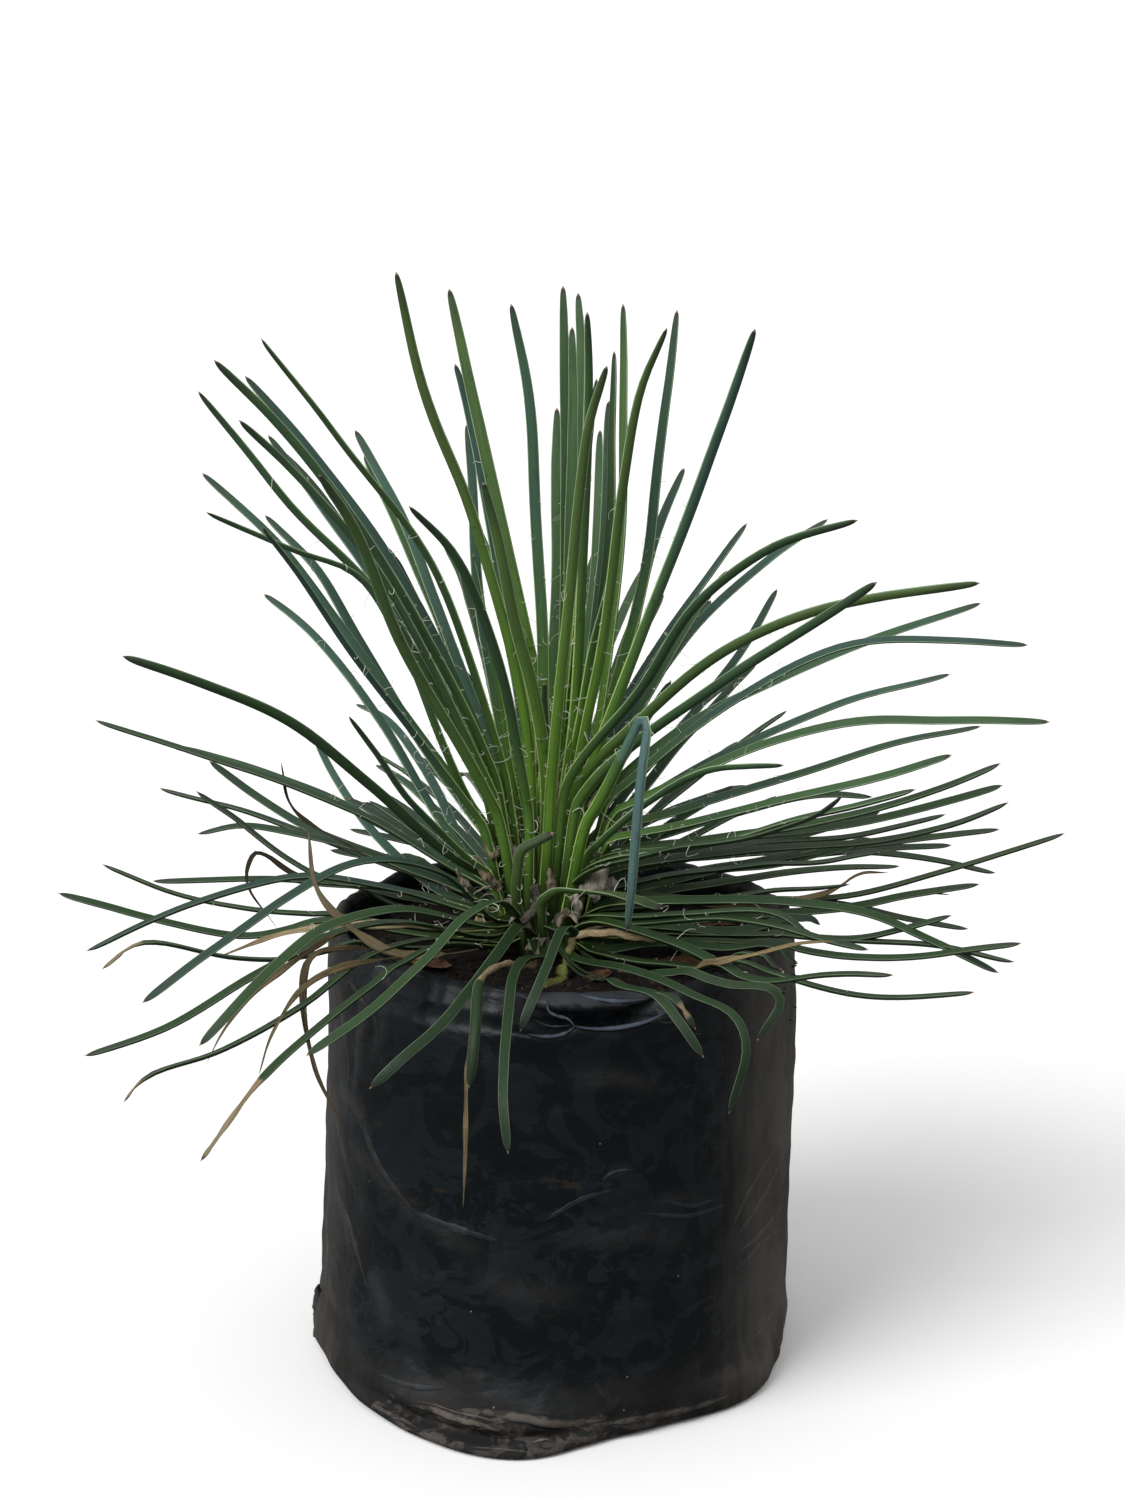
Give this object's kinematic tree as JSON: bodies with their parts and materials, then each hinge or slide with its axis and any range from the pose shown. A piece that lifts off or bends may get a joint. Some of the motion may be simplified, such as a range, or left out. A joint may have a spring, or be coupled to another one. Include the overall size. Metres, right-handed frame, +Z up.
{
  "type": "potted agave",
  "caption": "Narrow-leaved thread agave: a full rosette of slim keeled leaves, some drooping or dry, standing in a soil-filled black film grow bag",
  "frame": {"origin": "middle of the bag's flat underside, at the base mount", "axes": "+Z up from the surface it stands on, -Y towards the front that the picture shows, +X to the right"},
  "size_m": [0.474, 0.4523, 0.5221],
  "materials": {
    "black_film": "thin black polythene film, soft sheen, dusty and creased",
    "soil": "dark moist nursery soil, rough and crumbly",
    "green_leaf": "waxy green leaf skin, satin, with pale fibrous edges",
    "dry_leaf": "dead leaf, straw to brown, matt and fibrous"
  },
  "bodies": {
    "root": {"grow_bag": "black_film", "soil": "soil", "rosette": "green_leaf", "fallen_leaf_1": "dry_leaf", "fallen_leaf_2": "dry_leaf", "fallen_leaf_3": "dry_leaf", "fallen_leaf_4": "dry_leaf", "fallen_leaf_5": "dry_leaf", "fallen_leaf_6": "dry_leaf"}
  },
  "joints": []
}
